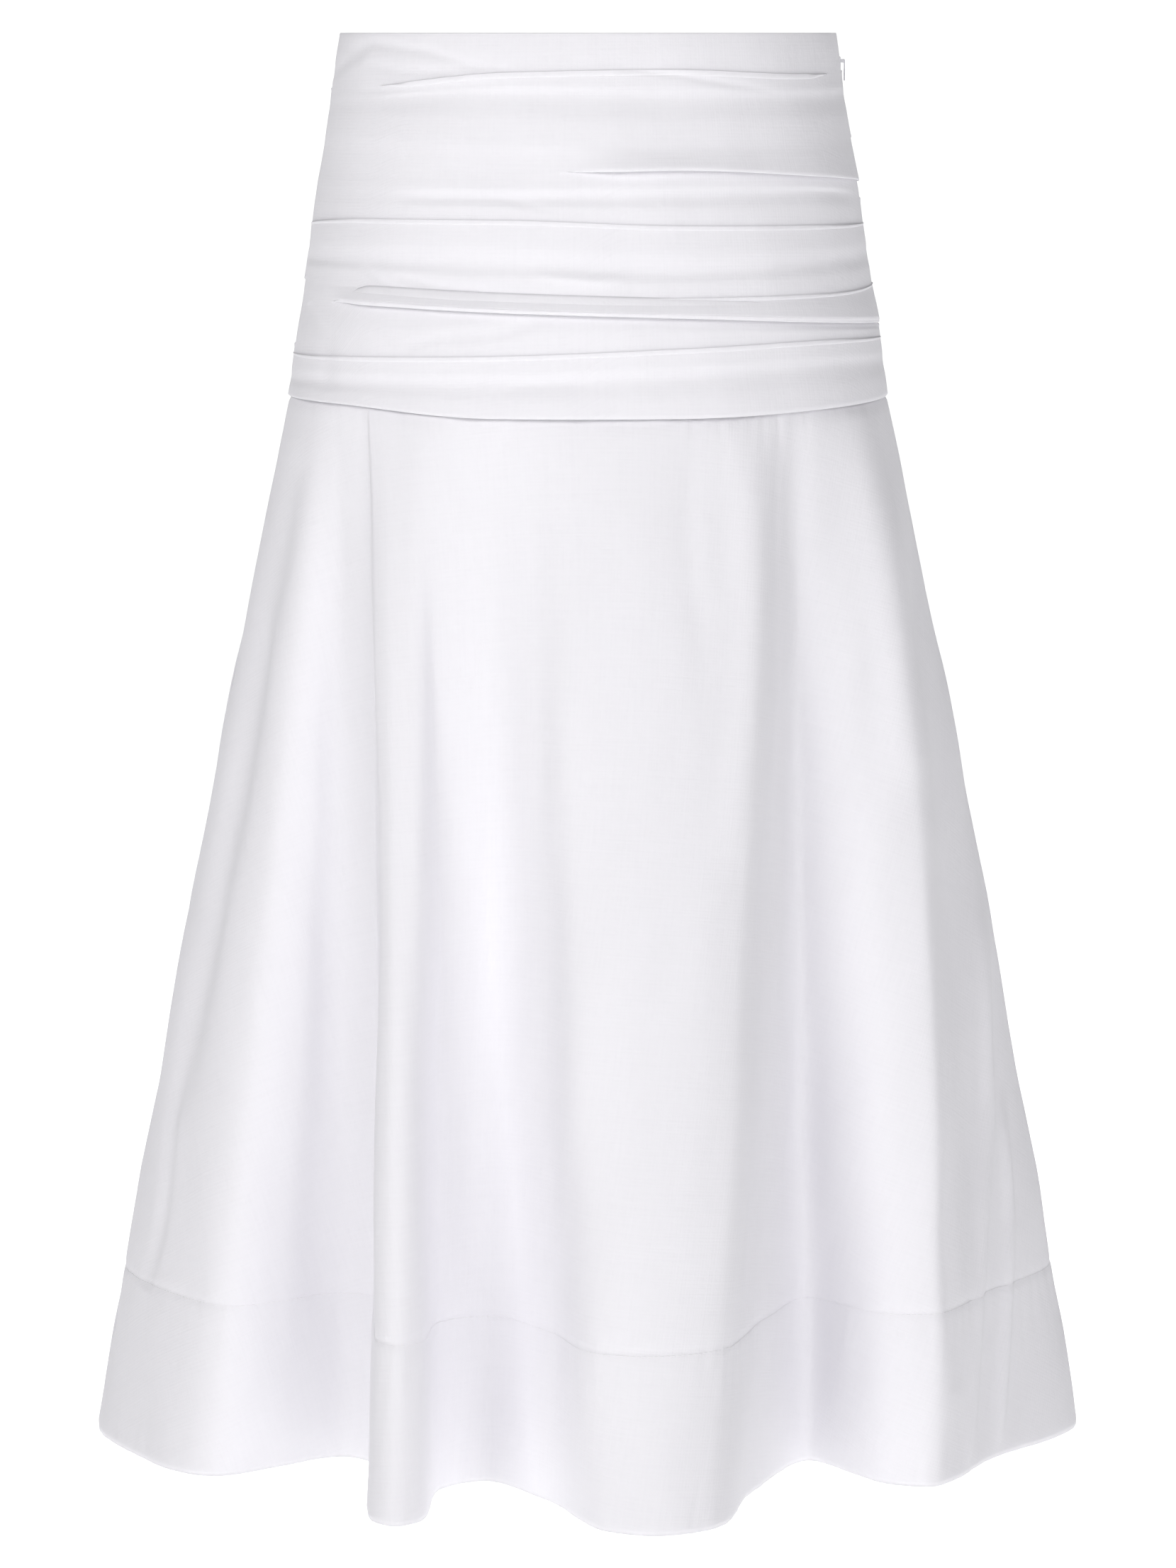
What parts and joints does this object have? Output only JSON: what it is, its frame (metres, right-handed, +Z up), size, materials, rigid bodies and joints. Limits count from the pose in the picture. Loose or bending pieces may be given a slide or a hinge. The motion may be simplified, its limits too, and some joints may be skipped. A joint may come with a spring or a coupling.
{
  "type": "midi skirt",
  "caption": "Flared cotton midi skirt with a draped hip yoke, deep soft flutes, a wide hem and a concealed side zip.",
  "frame": {"origin": "middle of the waist opening, at the height of the waist edge", "axes": "+Z up, along the length of the skirt; -Y the front; +X the wearer's left, where the zip is"},
  "size_m": [0.5618, 0.4688, 0.7903],
  "materials": {
    "yoke_cotton": "plain woven cotton, matt",
    "skirt_cotton": "plain woven cotton, matt",
    "hem_cotton": "plain woven cotton, matt",
    "zip_tape": "woven polyester tape",
    "zip_metal": "white lacquer, satin"
  },
  "bodies": {
    "garment": {"yoke_front": "yoke_cotton", "yoke_back": "yoke_cotton", "skirt_front": "skirt_cotton", "skirt_back": "skirt_cotton", "hem_front": "hem_cotton", "hem_back": "hem_cotton", "zip_tape": "zip_tape", "zip_slider": "zip_metal"},
    "pull": {"zip_pull": "zip_metal"}
  },
  "joints": [
    {"name": "pull_swing", "type": "hinge", "parent": "garment", "child": "pull", "pos_m": [0.14137, 0, -0.0154], "axis": [0, -1, 0], "range_deg": [0, 150]}
  ]
}
